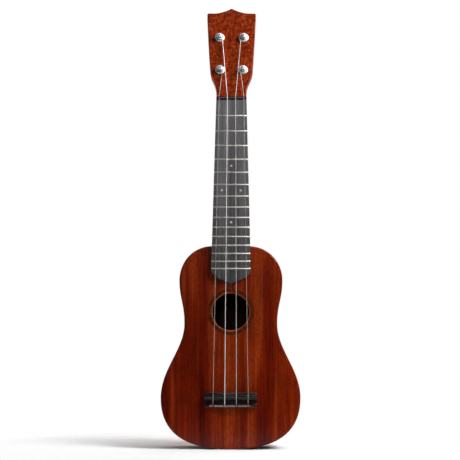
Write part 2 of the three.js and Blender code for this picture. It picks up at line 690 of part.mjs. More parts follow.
function addPegs() {
  const headstock = placeOnHeadstock(new THREE.Group());
  ukulele.add(headstock);
  for (const { name, pegX, pegUp, pegTurn } of STRINGS) {
    const place = new THREE.Group();
    place.position.set(pegX, pegUp, 0);
    headstock.add(place);
    addPiece(place, `peg_bush_${name}`, pegBush(TURNED_GAP, 1), 'chrome');
    addPiece(place, `peg_washer_${name}`, pegBush(-HEADSTOCK_THICKNESS - TURNED_GAP, -1), 'chrome');
    const moving = new THREE.Group();
    moving.rotation.z = THREE.MathUtils.degToRad(pegTurn);
    place.add(moving);
    addPiece(moving, `peg_shaft_${name}`, pegShaft(), 'chrome');
    addPiece(moving, `peg_button_${name}`, pegButton(), 'pegButton');
    addPiece(moving, `peg_screw_${name}`, pegScrew(), 'nickelSilver');
  }
}

// ---------------------------------------------------------------- assembly

addPiece(ukulele, 'soundboard', soundboard(), 'mahogany');
addPiece(ukulele, 'back_plate', plate(bodyShape(), INSIDE_BACK_Y, BACK_Y), 'mahogany');
addPiece(ukulele, 'rosette', rosetteRing(ROSETTE.inner, ROSETTE.outer, ROSETTE.depth), 'inlay');
addSidesAndLinings();
addBodyInside();
addPiece(ukulele, 'neck', neck(), 'neckMahogany');
addPiece(ukulele, 'fretboard', fretboard(), 'rosewood');
addFrets();
addPiece(ukulele, 'nut', nut(), 'blackPlastic');
addPiece(ukulele, 'bridge', bridge(), 'bridgeRosewood');
addPiece(ukulele, 'saddle', saddle(), 'blackPlastic');
addStrings();
addPegs();

export default ukulele;
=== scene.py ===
import math

import bmesh
import bpy
from mathutils import Matrix, Vector
from mathutils.geometry import tessellate_polygon


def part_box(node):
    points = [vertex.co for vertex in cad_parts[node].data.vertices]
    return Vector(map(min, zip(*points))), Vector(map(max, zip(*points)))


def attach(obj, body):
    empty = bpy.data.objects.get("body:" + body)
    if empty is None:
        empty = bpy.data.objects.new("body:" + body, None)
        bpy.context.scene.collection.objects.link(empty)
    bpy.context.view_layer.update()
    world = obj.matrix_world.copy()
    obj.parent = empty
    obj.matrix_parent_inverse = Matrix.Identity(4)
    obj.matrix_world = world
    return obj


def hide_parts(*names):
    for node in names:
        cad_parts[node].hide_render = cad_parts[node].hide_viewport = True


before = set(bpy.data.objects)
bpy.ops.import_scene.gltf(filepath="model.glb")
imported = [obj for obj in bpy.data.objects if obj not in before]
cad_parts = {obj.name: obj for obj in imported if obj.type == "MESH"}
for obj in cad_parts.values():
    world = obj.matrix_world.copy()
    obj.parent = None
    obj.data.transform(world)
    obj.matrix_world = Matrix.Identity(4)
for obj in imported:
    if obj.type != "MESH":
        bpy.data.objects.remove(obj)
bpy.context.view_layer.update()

# ------------------------------------------------------------------ camera
# A long lens level with the lower part of the fretboard, looking slightly up, which is how an
# instrument that leans back a few degrees is seen by someone who stands square in front of it.

camera_data = bpy.data.cameras.new("camera")
camera_data.lens = 119.7
camera = bpy.data.objects.new("camera", camera_data)
camera.location = (-0.0009, -1.8268, 0.1429)
camera.rotation_euler = (math.radians(90 + 3.63), math.radians(-0.17), 0)
bpy.context.scene.collection.objects.link(camera)
bpy.context.scene.camera = camera

# ------------------------------------------------------------------ floor and light
# A sheet of white paper for a floor. A small soft key shines from the right and in front, wide soft
# boxes from overhead, from behind and along the left edge, and a weak one from far in front. The
# room is bright behind the instrument and dim behind the camera.


def linear(hex_colour):
    """An sRGB hex colour as linear numbers with a full alpha."""
    parts = [int(hex_colour[i : i + 2], 16) / 255 for i in (1, 3, 5)]
    return (*(p / 12.92 if p <= 0.04045 else ((p + 0.055) / 1.055) ** 2.4 for p in parts), 1.0)


def add_node(tree, kind, inputs=None, **settings):
    """Adds a node; an input given as a socket is linked, and any other is its value."""
    made = tree.nodes.new("ShaderNode" + kind)
    for name, value in settings.items():
        setattr(made, name, value)
    for key, value in (inputs or {}).items():
        if isinstance(value, bpy.types.NodeSocket):
            tree.links.new(value, made.inputs[key])
        else:
            made.inputs[key].default_value = value
    return made


def new_material(name):
    """A material with an empty node tree."""
    material = bpy.data.materials.new(name)
    material.use_nodes = True
    material.node_tree.nodes.clear()
    return material


# White paper, matt, that fades out towards the edge of its roll
paper = new_material("matt white paper")
paper_tree = paper.node_tree
on_floor = add_node(paper_tree, "TexCoord")
from_middle = add_node(paper_tree, "VectorMath", {0: on_floor.outputs["Object"]}, operation="LENGTH")
fade_start, fade_end = 0.1, 0.32
fade = add_node(paper_tree, "MapRange", {"Value": from_middle.outputs["Value"], "From Min": fade_start,
                                         "From Max": fade_end})
fibre_mat = add_node(paper_tree, "BsdfDiffuse", {"Color": linear("#f6f6f6"), "Roughness": 1.0})
clear = add_node(paper_tree, "BsdfTransparent")
faded = add_node(paper_tree, "MixShader", {0: fade.outputs[0], 1: fibre_mat.outputs[0], 2: clear.outputs[0]})
add_node(paper_tree, "OutputMaterial", {"Surface": faded.outputs[0]})

floor_half, below_tail = 1.2, 0.0003
floor_mesh = bpy.data.meshes.new("floor")
floor_corners = [(x * floor_half, y * floor_half, 0) for x, y in ((-1, -1), (1, -1), (1, 1), (-1, 1))]
floor_mesh.from_pydata(floor_corners, [], [(0, 1, 2, 3)])
floor_mesh.materials.append(paper)
floor = bpy.data.objects.new("floor", floor_mesh)
floor.location.z = -below_tail
bpy.context.scene.collection.objects.link(floor)

# The room's bright side is behind the instrument, and high up
bright_side, dimmest, brightest = (-0.15, 0.95, 0.25), 0.02, 1.0
world = bpy.data.worlds.new("room")
world.use_nodes = True
room = world.node_tree
room.nodes.clear()
direction = add_node(room, "TexCoord")
towards = add_node(room, "VectorMath", {0: direction.outputs["Generated"], 1: bright_side},
                   operation="DOT_PRODUCT")
brightness = add_node(room, "MapRange", {"Value": towards.outputs["Value"], "From Min": -0.1, "From Max": 0.6,
                                         "To Min": dimmest, "To Max": brightest})
lit_room = add_node(room, "Background", {"Strength": brightness.outputs[0]})
white_room = add_node(room, "Background", {"Color": linear("#ffffff"), "Strength": 1.0})
seen = add_node(room, "LightPath")
both = add_node(room, "MixShader", {0: seen.outputs["Is Camera Ray"], 1: lit_room.outputs[0],
                                    2: white_room.outputs[0]})
add_node(room, "OutputWorld", {"Surface": both.outputs[0]})
bpy.context.scene.world = world
bpy.context.scene.view_settings.view_transform = "Standard"

for name, place, aim, size, watts in (
    ("key", (0.56, -0.4, 0.74), (0, 0, 0.28), 0.4, 9.5),
    ("overhead", (0.25, 0.1, 1.9), (0, 0, 0), 1.2, 6),
    ("backlight", (0.4, 1.2, 1.2), (0, 0, 0), 1.2, 16),
    ("front_panel", (-0.1, -2.4, 0.86), (0, 0, 0.4), 0.5, 3.5),
    ("rim", (-1.0, 0.7, 0.35), (0, 0, 0.2), 0.8, 5),
):
    soft_box = bpy.data.lights.new(name, "AREA")
    soft_box.size = size
    soft_box.energy = watts
    light = bpy.data.objects.new(name, soft_box)
    light.location = place
    light.rotation_euler = (Vector(aim) - Vector(place)).to_track_quat("-Z", "Y").to_euler()
    light.visible_camera = False
    bpy.context.scene.collection.objects.link(light)

# ------------------------------------------------------------------ soundboard
# One 2 mm plate of mahogany, sawn to the waisted outline with its edge rounded over, bored for
# the sound hole and turned out around it for the rosette. All lengths are in millimetres.

MM = 0.001
front_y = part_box("soundboard")[0].y / MM
back_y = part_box("back_plate")[1].y / MM
plate = 2.0
body_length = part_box("soundboard")[1].z / MM
edge_round = 1.9
hole_radius, hole_z = 21.8, 160.7
rosette_inner, rosette_outer, rosette_depth = 24.0, 27.2, 0.8


def bezier(p0, p1, p2, p3, steps):
    """Points on a cubic curve, without its last one."""
    found = []
    for i in range(steps):
        t = i / steps
        u = 1 - t
        weights = (u * u * u, 3 * u * u * t, 3 * u * t * t, t * t * t)
        found.append(tuple(sum(w * p[k] for w, p in zip(weights, (p0, p1, p2, p3))) for k in (0, 1)))
    return found


def mirrored(right_half):
    """A closed loop from its right half, which starts and ends on the middle line or short of it."""
    return right_half + [(-x, z) for x, z in reversed(right_half) if x > 0]


def inset_line(points, distance):
    """A closed line moved to its left, with its corners kept sharp."""
    moved = []
    for i, (x, z) in enumerate(points):
        before = Vector((x, z)) - Vector(points[i - 1])
        after = Vector(points[(i + 1) % len(points)]) - Vector((x, z))
        normals = [Vector((-d.y, d.x)).normalized() for d in (before, after)]
        middle = (normals[0] + normals[1]).normalized()
        reach = distance / max(0.4, middle.dot(normals[0]))
        moved.append((x + middle.x * reach, z + middle.y * reach))
    return moved


def circle(radius, centre_x, centre_z, steps=96):
    """A hole's loop, which runs clockwise, so that its left side is the wood."""
    angles = (-2 * math.pi * i / steps for i in range(steps))
    return [(centre_x + radius * math.cos(a), centre_z + radius * math.sin(a)) for a in angles]


def rounded_edge(radius, face, inwards, steps=5):
    """Inset and depth round an edge, from the flat face out to the side."""
    arc = [math.pi / 2 * i / steps for i in range(steps + 1)]
    rounded = [(radius * (1 - math.sin(a)), face + inwards * radius * (1 - math.cos(a))) for a in arc]
    return [(radius + 0.4, face)] + rounded


class Solid:
    """The points and faces of one piece, in millimetres, gathered before they become a mesh."""

    def __init__(self):
        self.points = []
        self.faces = []

    def ring(self, points):
        """Adds a closed row of points, and gives their numbers."""
        self.points += [tuple(p) for p in points]
        return range(len(self.points) - len(points), len(self.points))

    def band(self, a, b):
        """Four-sided faces between two rings of one length."""
        for i in range(len(a)):
            j = (i + 1) % len(a)
            self.faces.append((a[i], a[j], b[j], b[i]))

    def skin(self, rings, hollow=False):
        """A body through rings of points, closed flat at its two ends or, if hollow, on itself."""
        made = [self.ring(points) for points in rings]
        for a, b in zip(made, made[1:]):
            self.band(a, b)
        if hollow:
            self.band(made[-1], made[0])
        else:
            self.faces += [tuple(made[0]), tuple(made[-1])]
        return self

    def slab(self, loops):
        """A plate in x and z. Each loop, the outline first, has a profile of inset and y across the edge."""
        ends = []
        for line, profile in loops:
            made = [self.ring([(x, y, z) for x, z in inset_line(line, inset)]) for inset, y in profile]
            for a, b in zip(made, made[1:]):
                self.band(a, b)
            ends.append((made[0], made[-1]))
        for side in zip(*ends):
            numbers = [i for loop in side for i in loop]
            flat = [[Vector((self.points[i][0], self.points[i][2], 0)) for i in loop] for loop in side]
            self.faces += [tuple(numbers[k] for k in corner) for corner in tessellate_polygon(flat)]
        return self

    def turned(self, profile, hollow=False, steps=48):
        """A turned body about y, from radius and height, where height runs out to the front."""
        angles = [2 * math.pi * i / steps for i in range(steps)]
        rings = [[(r * math.cos(a), -height, r * math.sin(a)) for a in angles] for r, height in profile]
        return self.skin(rings, hollow)

    def tube(self, points, radius, sides=12):
        """A round cord along listed points."""
        points = [Vector(p) for p in points]
        rings = []
        across = None
        for i, point in enumerate(points):
            along = (points[min(i + 1, len(points) - 1)] - points[max(i - 1, 0)]).normalized()
            across = across or along.orthogonal()
            across = (across - across.dot(along) * along).normalized()
            beside = along.cross(across)
            angles = (2 * math.pi * k / sides for k in range(sides))
            rings.append([point + radius * (math.cos(a) * across + math.sin(a) * beside) for a in angles])
        return self.skin(rings)


def closed_mesh(name, solid, place):
    """A solid's mesh in metres, moved from its own axes by place, with its faces turned outwards."""
    place = place or Matrix.Identity(4)
    mesh = bpy.data.meshes.new(name)
    mesh.from_pydata([(place @ Vector(p)) * MM for p in solid.points], [], solid.faces)
    work = bmesh.new()
    work.from_mesh(mesh)
    bmesh.ops.recalc_face_normals(work, faces=work.faces)
    work.to_mesh(mesh)
    work.free()
    return mesh


def smooth(piece):
    """Shades a mesh smooth between its sharp edges."""
    sharp_angle = math.radians(32)
    piece.data.polygons.foreach_set("use_smooth", [True] * len(piece.data.polygons))
    piece.data.set_sharp_from_angle(angle=sharp_angle)


def make_piece(name, solid, material, replaced=(), body="instrument", place=None):
    """One visible piece as a smooth closed mesh that rides on a body."""
    piece = bpy.data.objects.new(name, closed_mesh(name, solid, place))
    bpy.context.scene.collection.objects.link(piece)
    piece.data.materials.append(material)
    smooth(piece)
    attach(piece, body)
    if replaced:
        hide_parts(*replaced)
    return piece


def face_with(piece, material, is_chosen):
    """Gives the chosen faces of a piece a material of their own."""
    piece.data.materials.append(material)
    for face in piece.data.polygons:
        if is_chosen(face):
            face.material_index = len(piece.data.materials) - 1


def grained_wood(name, dark, middle, light, runs="Z", grain=None, offset=(0, 0, 0), band=(0.045, 0.0015),
                 fibre=(0.8, 0.01), pore=(1.2, 0.14), fibre_dark=0.24, pore_dark=0.4, roughness=0.2, coat=0.2,
                 specular=0.1):
    """Open-pored wood: bands along the grain, finer fibre lines in them, and pores that show as dark
    dashes. Each pair is how often a pattern changes per millimetre across and along the grain."""
    material = new_material(name)
    tree = material.node_tree
    if grain:
        source = add_node(tree, "Attribute", attribute_name=grain).outputs["Vector"]
    else:
        source = add_node(tree, "TexCoord").outputs["Object"]
    scaled = add_node(tree, "VectorMath", {0: source, "Scale": 1 / MM}, operation="SCALE")
    shifted = add_node(tree, "VectorMath", {0: scaled.outputs[0], 1: offset}, operation="ADD")

    def pattern(per_mm, detail, low, high, to_low, to_high):
        stretch = tuple(per_mm[1] if axis == runs else per_mm[0] for axis in "XYZ")
        stretched = add_node(tree, "VectorMath", {0: shifted.outputs[0], 1: stretch}, operation="MULTIPLY")
        noise = add_node(tree, "TexNoise", {"Vector": stretched.outputs[0], "Scale": 1.0, "Detail": detail,
                                            "Roughness": 0.62})
        spread = {"Value": noise.outputs["Fac"], "From Min": low, "From Max": high, "To Min": to_low,
                  "To Max": to_high}
        return add_node(tree, "MapRange", spread).outputs[0]

    bands = pattern(band, 3.0, 0.3, 0.7, 0.0, 1.0)
    fibres = pattern(fibre, 3.0, 0.32, 0.68, 1 - fibre_dark, 1 + 0.8 * fibre_dark)
    pores = pattern(pore, 1.0, 0.53, 0.66, 1.0, 1.0 - pore_dark)
    # A broad mottle across the wood, partly its own figure and partly painted sheen: lighter and darker
    # patches in the colour that stand for the figure's shifting gleam
    broad_figure_tone_and_sheen = (0.05, 0.035)
    figure_tone_and_sheen = pattern(broad_figure_tone_and_sheen, 1.0, 0.3, 0.7, 0.88, 1.12)
    toned = add_node(tree, "ValToRGB", {"Fac": bands})
    ramp = toned.color_ramp
    ramp.elements[0].position = 0.1
    ramp.elements[0].color = linear(dark)
    ramp.elements[1].position = 0.9
    ramp.elements[1].color = linear(light)
    ramp.elements.new(0.5).color = linear(middle)
    relief = add_node(tree, "Math", {0: fibres, 1: pores}, operation="MULTIPLY")
    shade = add_node(tree, "Math", {0: relief.outputs[0], 1: figure_tone_and_sheen}, operation="MULTIPLY")
    colour = add_node(tree, "VectorMath", {0: toned.outputs[0], "Scale": shade.outputs[0]}, operation="SCALE")
    bump = add_node(tree, "Bump", {"Strength": 0.12, "Distance": 0.15 * MM, "Height": relief.outputs[0]})
    gloss = add_node(tree, "MapRange", {"Value": relief.outputs[0], "From Min": 0.4, "From Max": 1.3,
                                        "To Min": roughness + 0.1, "To Max": roughness - 0.04})
    surface = {"Base Color": colour.outputs[0], "Roughness": gloss.outputs[0], "Normal": bump.outputs[0],
               "IOR": 1.5, "Specular IOR Level": specular, "Coat Weight": coat, "Coat Roughness": 0.12}
    shader = add_node(tree, "BsdfPrincipled", surface)
    add_node(tree, "OutputMaterial", {"Surface": shader.outputs[0]})
    return material


# Mahogany under satin lacquer: warm red-brown ribbons with a soft broad sheen. The ribbons' light and dark
# bands are drawn in the colour, partly the wood's own tone and partly painted sheen.
# 0.2 mm wide and its fibre lines under a millimetre apart. They are drawn coarser, up to 1 mm wide and
# 2.5 mm apart, so that they show. The other woods' pores are drawn coarser too, near 1 mm wide.
body_colours = ("#540e01", "#741d04", "#963810")
body_mahogany = grained_wood("satin lacquered mahogany", *body_colours, offset=(27, 0, 0), band=(0.05, 0.003),
                             fibre=(0.4, 0.008), fibre_dark=0.3, pore=(1.0, 0.28), pore_dark=0.5)
# The same wood left bare inside: dry and matt and paler in hue, but darker in colour than bare mahogany is,
# as painted shade for the dim inside of the body
bare_mahogany_darkened_as_shade = grained_wood("bare mahogany darkened as painted shade", "#2e1a10", "#3d2417", "#4d3120", roughness=0.75, coat=0.0)

half_outline = [
    *bezier((0, 0), (28.5, 0), (82.1, 3.8), (82.1, 60), 30),
    *bezier((82.1, 60), (82.1, 93.6), (54.7, 116.6), (54.7, 146.5), 24),
    *bezier((54.7, 146.5), (54.7, 170.1), (60.8, 176.2), (60.8, 197.9), 18),
    *bezier((60.8, 197.9), (60.8, 218.4), (46, body_length), (20, body_length), 24),
    (20, body_length),
    (0, body_length),
]
outline = mirrored(half_outline)
channel_gap, rim_round = 0.04, 0.6
inner_wall = rosette_inner - channel_gap - hole_radius
outer_wall = rosette_outer + channel_gap - hole_radius
channel_floor = front_y + rosette_depth + channel_gap
hole_profile = [
    (outer_wall + 0.3, front_y), (outer_wall, front_y), (outer_wall, channel_floor),
    (inner_wall, channel_floor), (inner_wall, front_y), *rounded_edge(rim_round, front_y, 1),
    (0, front_y + plate - 0.3), (0.3, front_y + plate),
]
soundboard = make_piece(
    "soundboard_plate",
    Solid().slab([
        (outline, [*rounded_edge(edge_round, front_y, 1), (0, front_y + plate)]),
        (circle(hole_radius, 0, hole_z), hole_profile),
    ]),
    body_mahogany, ["soundboard"],
)
flat_facing, front_facing = 0.9, -0.97
below_channel = (front_y + 1.5) * MM
# Its inner face, which looks into the body, gets the bare wood darkened as painted shade
face_with(soundboard, bare_mahogany_darkened_as_shade,
          lambda face: face.normal.y > flat_facing and face.center.y > below_channel)
# End grain at the rim of the hole, sanded and sealed: a thin pale line where the light catches it
sanded_rim = grained_wood("sanded mahogany end grain", "#8a5a44", "#a5715a", "#bd8a72", band=(0.4, 0.4),
                          fibre=(0.9, 0.9))
hole_middle = Vector((0, hole_z * MM))
rim_reach = (hole_radius + rim_round + 0.02) * MM
face_with(soundboard, sanded_rim, lambda face: (face.center.xz - hole_middle).length < rim_reach
          and front_facing < face.normal.y < flat_facing)

# ------------------------------------------------------------------ rosette
# A dark line, a band of brown wood and a second dark line, bent round and glued into the channel,
# then scraped level with the soundboard.

# Dyed wood line: nearly black, satin under the lacquer
dyed_line = grained_wood("dyed wood line", "#230c05", "#2e1208", "#3a190c", band=(0.3, 0.3), roughness=0.35)
# Walnut veneer: an olive brown that is duller than the mahogany round it
walnut = grained_wood("walnut veneer", "#471f09", "#58290d", "#6a3413", band=(0.25, 0.25), fibre=(0.9, 0.5))
line_width = 0.7
seam = 0.03
for name, inner, outer, wood in (
    ("rosette_inner_line", rosette_inner, rosette_inner + line_width - seam, dyed_line),
    ("rosette_band", rosette_inner + line_width, rosette_outer - line_width, walnut),
    ("rosette_outer_line", rosette_outer - line_width + seam, rosette_outer, dyed_line),
):
    section = [
        (inner, -rosette_depth), (outer, -rosette_depth), (outer, -seam), (outer - seam, 0),
        (inner + seam, 0), (inner, -seam),
    ]
    make_piece(name, Solid().turned(section, hollow=True, steps=128), wood, ["rosette"],
               place=Matrix.Translation((0, front_y, hole_z)))

# ------------------------------------------------------------------ back plate
# One 2 mm plate of mahogany like the soundboard, with its edge rounded over at the back.

back_profile = [(0, back_y - plate), *reversed(rounded_edge(edge_round, back_y, -1))]
back = make_piece("back_plate_panel", Solid().slab([(outline, back_profile)]), body_mahogany,
                  ["back_plate"])
# Its inner face, which looks into the body, gets the bare wood darkened as painted shade
face_with(back, bare_mahogany_darkened_as_shade, lambda face: face.normal.y < -flat_facing)

# ------------------------------------------------------------------ sides
# Two 1.8 mm strips of mahogany, soaked and bent over a hot iron, so the grain follows the bend.
# They meet at the middle of the tail and of the neck joint.

side_thickness = 1.8
# Left open between two pieces that are glued or fitted to each other
glue_gap = 0.05
# The body's own mahogany with its grain along the strip
side_mahogany = grained_wood("satin lacquered bent mahogany", *body_colours, grain="grain",
                             offset=(40, 15, 0))
side_outer = inset_line(outline, 0)[: len(half_outline)]
side_inner = inset_line(outline, side_thickness)[: len(half_outline)]
for name, hand in (("left", -1), ("right", 1)):
    rings = []
    lengths = []
    length = 0
    for i, (outer, inner) in enumerate(zip(side_outer, side_inner)):
        length += math.dist(outer, side_outer[max(i - 1, 0)])
        lengths.append(length)
        section = (
            (outer, front_y + plate), (outer, back_y - plate),
            (inner, back_y - plate), (inner, front_y + plate),
        )
        rings.append([(hand * max(x, glue_gap), y, z) for (x, z), y in section])
    side = make_piece(f"side_strip_{name}", Solid().skin(rings), side_mahogany,
                      [f"side_{name}"])
    grain = side.data.attributes.new("grain", "FLOAT_VECTOR", "POINT")
    corners = len(rings[0])
    for i, vertex in enumerate(side.data.vertices):
        grain.data[i].vector = (vertex.co.y, 0, hand * lengths[i // corners] * MM)
    # The third face of each length of strip looks into the body, and gets the bare wood darkened as painted
    # shade
    lengthwise = corners * (len(rings) - 1)
    face_with(side, bare_mahogany_darkened_as_shade, lambda face: face.index < lengthwise and face.index % corners == 2)

# ------------------------------------------------------------------ linings, blocks and braces
# Inside the body: mahogany linings and end blocks that join the sides to the plates, and spruce
# braces and a bridge plate glued across them. They are sawn square and left bare.

# Spruce, sawn and bare: pale straw with a darker line for each year, about a millimetre apart
spruce = grained_wood("sawn spruce", "#b08a58", "#caa878", "#dcc196", runs="X", band=(0.8, 0.01),
                      fibre=(2.0, 0.05), fibre_dark=0.12, pore_dark=0.0, roughness=0.7, coat=0.0)
# The mahogany pieces inside get the bare wood darkened as painted shade; the spruce keeps its own pale colour
inner_woods = {
    bare_mahogany_darkened_as_shade: ["lining_top_left", "lining_top_right", "lining_back_left", "lining_back_right",
                    "neck_block", "tail_block"],
    spruce: ["bridge_plate", "top_brace_upper", "top_brace_lower", "back_brace_upper", "back_brace_lower"],
}
for wood, nodes in inner_woods.items():
    for node in nodes:
        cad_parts[node].material_slots[0].material = wood

# ------------------------------------------------------------------ neck and headstock
# Neck, heel and headstock carved from one piece of mahogany. The headstock leans back 12 degrees,
# so its face cuts across the grain and shows the pores as short flecks.

nut_z, nut_length = 412.0, 3.0
heel_z = body_length + glue_gap
board_side_end = 209.5
headstock_thickness = 11.0
neck_colours = ("#671d09", "#832c0f", "#a04018")
neck_mahogany = grained_wood("satin lacquered neck mahogany", *neck_colours, offset=(310, 20, 0),
                             fibre=(0.7, 0.006), pore=(0.9, 0.012), pore_dark=0.62, roughness=0.34)
# The thin veneer on its face is cut across a curl in the wood, which mottles it with short dark
# flecks. They are drawn about 1.3 mm wide, coarser than real ones.
face_veneer = grained_wood("satin lacquered mottled mahogany", *neck_colours, offset=(70, 5, 30),
                           band=(0.35, 0.2), fibre=(0.65, 0.5), pore=(0.75, 0.6), fibre_dark=0.6,
                           pore_dark=0.5)
headstock_lean = math.radians(12)
lean = Matrix.Translation((0, front_y, nut_z + nut_length)) @ Matrix.Rotation(-headstock_lean, 4, "X")


def board_half(z):
    """Half the width of the fretboard, and of the neck under it, at height z."""
    at_nut, at_end = 18.0, 23.4
    return at_nut + (at_end - at_nut) * (nut_z - z) / (nut_z - board_side_end)


def neck_section(z, half, front, depth, flatness=1.0, steps=36):
    """Flat in front and round behind; a flatness below 1 leaves the flat cap of the heel."""
    angles = [math.pi * i / steps for i in range(steps + 1)]
    return [(half * math.cos(a), front + min(depth, depth / flatness * math.sin(a)), z) for a in angles]


heel_depth, heel_cap, heel_sweep, cap_flatness, neck_depth = 56.0, 8.0, 36.0, 0.86, (15.0, 13.0)
sweep_z = heel_z + heel_cap
sections = [neck_section(heel_z, board_half(heel_z), front_y, heel_depth, cap_flatness)]
sweep_end = (sweep_z + heel_sweep, neck_depth[0])
sweep_curve = bezier((sweep_z, heel_depth), (sweep_z + 0.14 * heel_sweep, 0.6 * heel_depth),
                     (sweep_z + 0.25 * heel_sweep, neck_depth[0] + 1), sweep_end, 24)
for z, depth in [*sweep_curve, sweep_end]:
    flatness = cap_flatness + (1 - cap_flatness) * (z - sweep_z) / heel_sweep
    sections.append(neck_section(z, board_half(z), front_y, depth, flatness))
sections.append(neck_section(nut_z, board_half(nut_z), front_y, neck_depth[1]))
nut_half = 17.9
# The neck's own wood runs on inside the headstock, a little below its faces, so that the two join
runout, sunk, back_sunk = 18.0, 0.5, 1.5
sections.append(neck_section(nut_z + nut_length, nut_half, front_y, neck_depth[1]))
for share in (0.2, 0.4, 0.6, 0.8, 1.0):
    front = front_y + share * runout * math.tan(headstock_lean) + sunk
    depth = (neck_depth[1] - sunk) * (1 - share) + (headstock_thickness - back_sunk) * share
    sections.append(neck_section(nut_z + nut_length + share * runout, nut_half - sunk, front, depth))

headstock_top = 114.3
headstock_half = [
    (nut_half, 0),
    *bezier((nut_half, 4), (18, 19), (24.6, 22), (25.4, 34), 16),
    *bezier((25.4, 34), (26.47, 46), (27.77, 68), (29.3, 100), 10),
    (29.3, 100),
    *bezier((29.3, 106.3), (29.3, 107.43), (28.73, 108), (27.6, 108), 5),
    (27.6, 108),
    *bezier((20, 108), (12, 108.6), (5, 111.6), (0.4, headstock_top - 0.1), 12),
    (0.4, headstock_top - 0.1),
    (0, headstock_top),
]
# Each peg's place across and up the headstock, and the turn of its button in degrees
pegs = {"g": (-13.65, 34.7, 18), "c": (-14.5, 76.1, -32), "e": (14.5, 76.1, 40), "a": (13.65, 34.7, -12)}
bore_radius = 4.3
loops = [(mirrored(headstock_half), [
    *rounded_edge(1.0, 0, 1, 4), *reversed(rounded_edge(1.0, headstock_thickness, -1, 4))])]
for across, up, _ in pegs.values():
    loops.append((circle(bore_radius, across, up, 48), [
        (0.2, 0), (0, 0.2), (0, headstock_thickness - 0.2), (0.2, headstock_thickness)]))
head = Solid().slab(loops)
lowest_corner, flare_length, thin_end = 3.0, 20.0, 0.22


def flared(x, y, z):
    """Thins the headstock's back towards the nut, so that it grows out of the round of the neck."""
    z = 0.0 if z < lowest_corner else z
    share = min(1.0, z / flare_length)
    return x, y * (thin_end + (1 - thin_end) * share * (2 - share)), z


head.points = [flared(*point) for point in head.points]


def combine(piece, solid, operation, place=None):
    """Joins a solid to a piece, or cuts it out, and keeps the result as the piece's mesh."""
    tool = bpy.data.objects.new("tool", closed_mesh("tool", solid, place))
    bpy.context.scene.collection.objects.link(tool)
    change = piece.modifiers.new("change", "BOOLEAN")
    change.operation = operation
    change.solver = "EXACT"
    change.object = tool
    graph = bpy.context.evaluated_depsgraph_get()
    made = bpy.data.meshes.new_from_object(piece.evaluated_get(graph))
    piece.modifiers.clear()
    made.materials.clear()
    made.materials.append(piece.data.materials[0])
    piece.data = made
    bpy.data.objects.remove(tool)
    smooth(piece)


neck = make_piece("neck_and_headstock", Solid().skin(sections), neck_mahogany, ["neck"])
combine(neck, head, "UNION", lean)
headstock_facing = lean.to_3x3() @ Vector((0, -1, 0))
face_with(neck, face_veneer, lambda face: face.normal.dot(headstock_facing) > 0.99)

# ------------------------------------------------------------------ fretboard
# A 4.5 mm board of rosewood, slotted for the frets and glued to the neck. It tapers to the nut, and
# its end over the soundboard is cut to a low point.

board_thickness = 4.5
board_face = front_y - board_thickness
fret_count, scale_length = 15, 346
fret_z = [nut_z - scale_length * (1 - 2 ** (-n / 12)) for n in range(fret_count + 1)]
# Oiled rosewood: dark grey-brown with fine straight lines and a low sheen
board_rosewood = grained_wood("oiled rosewood", "#1f1c1e", "#3a3739", "#5d5a5d", band=(0.3, 0.003),
                              fibre=(0.8, 0.01), pore=(1.3, 0.1), fibre_dark=0.35, pore_dark=0.35,
                              roughness=0.3, coat=0.0, specular=1.0)
half_board = [
    *bezier((0, 192.4), (4, 197.2), (12.5, 196.8), (19.5, 203.2), 16),
    *bezier((19.5, 203.2), (22.1, 204.73), (23.4, 206.83), (23.4, board_side_end), 8),
    (23.4, board_side_end),
    (18.0, nut_z - 0.05),
]
board_profile = [*rounded_edge(0.5, board_face, 1, 4), (0, front_y)]
board = make_piece("fretboard_board", Solid().slab([(mirrored(half_board), board_profile)]), board_rosewood,
                   ["fretboard"])
slots = Solid()
slot_half, slot_depth, past_edge = 0.3, 1.8, 30.0
slot_section = ((-1, -slot_half), (-1, slot_half), (slot_depth, slot_half), (slot_depth, -slot_half))
for z in fret_z[1:]:
    slots.skin([[(x, board_face + dy, z + dz) for dy, dz in slot_section] for x in (-past_edge, past_edge)])
combine(board, slots, "DIFFERENCE")

# Pearl celluloid dots: creamy white with a soft cloudy shimmer
pearl = grained_wood("pearl celluloid", "#b9b5a8", "#d2cec2", "#e6e3da", band=(0.6, 0.5), fibre=(1.5, 1.5),
                     fibre_dark=0.08, pore_dark=0.0, roughness=0.25)
dot_radius, dot_depth = 1.25, 0.6
for number, (fret, across) in enumerate(((5, 0), (7, -11.1), (7, 11.1), (10, 0)), 1):
    dot = Solid().turned([(dot_radius, -dot_depth), (dot_radius, 0), (dot_radius - 0.1, 0.04)], steps=32)
    middle = (fret_z[fret - 1] + fret_z[fret]) / 2
    make_piece(f"dot_{number}", dot, pearl,
               place=Matrix.Translation((across, board_face, middle)))

# ------------------------------------------------------------------ frets
# Fifteen lengths of nickel silver wire: a round crown, and a thin tang that is hammered into its
# slot. The ends are filed level with the board and bevelled.


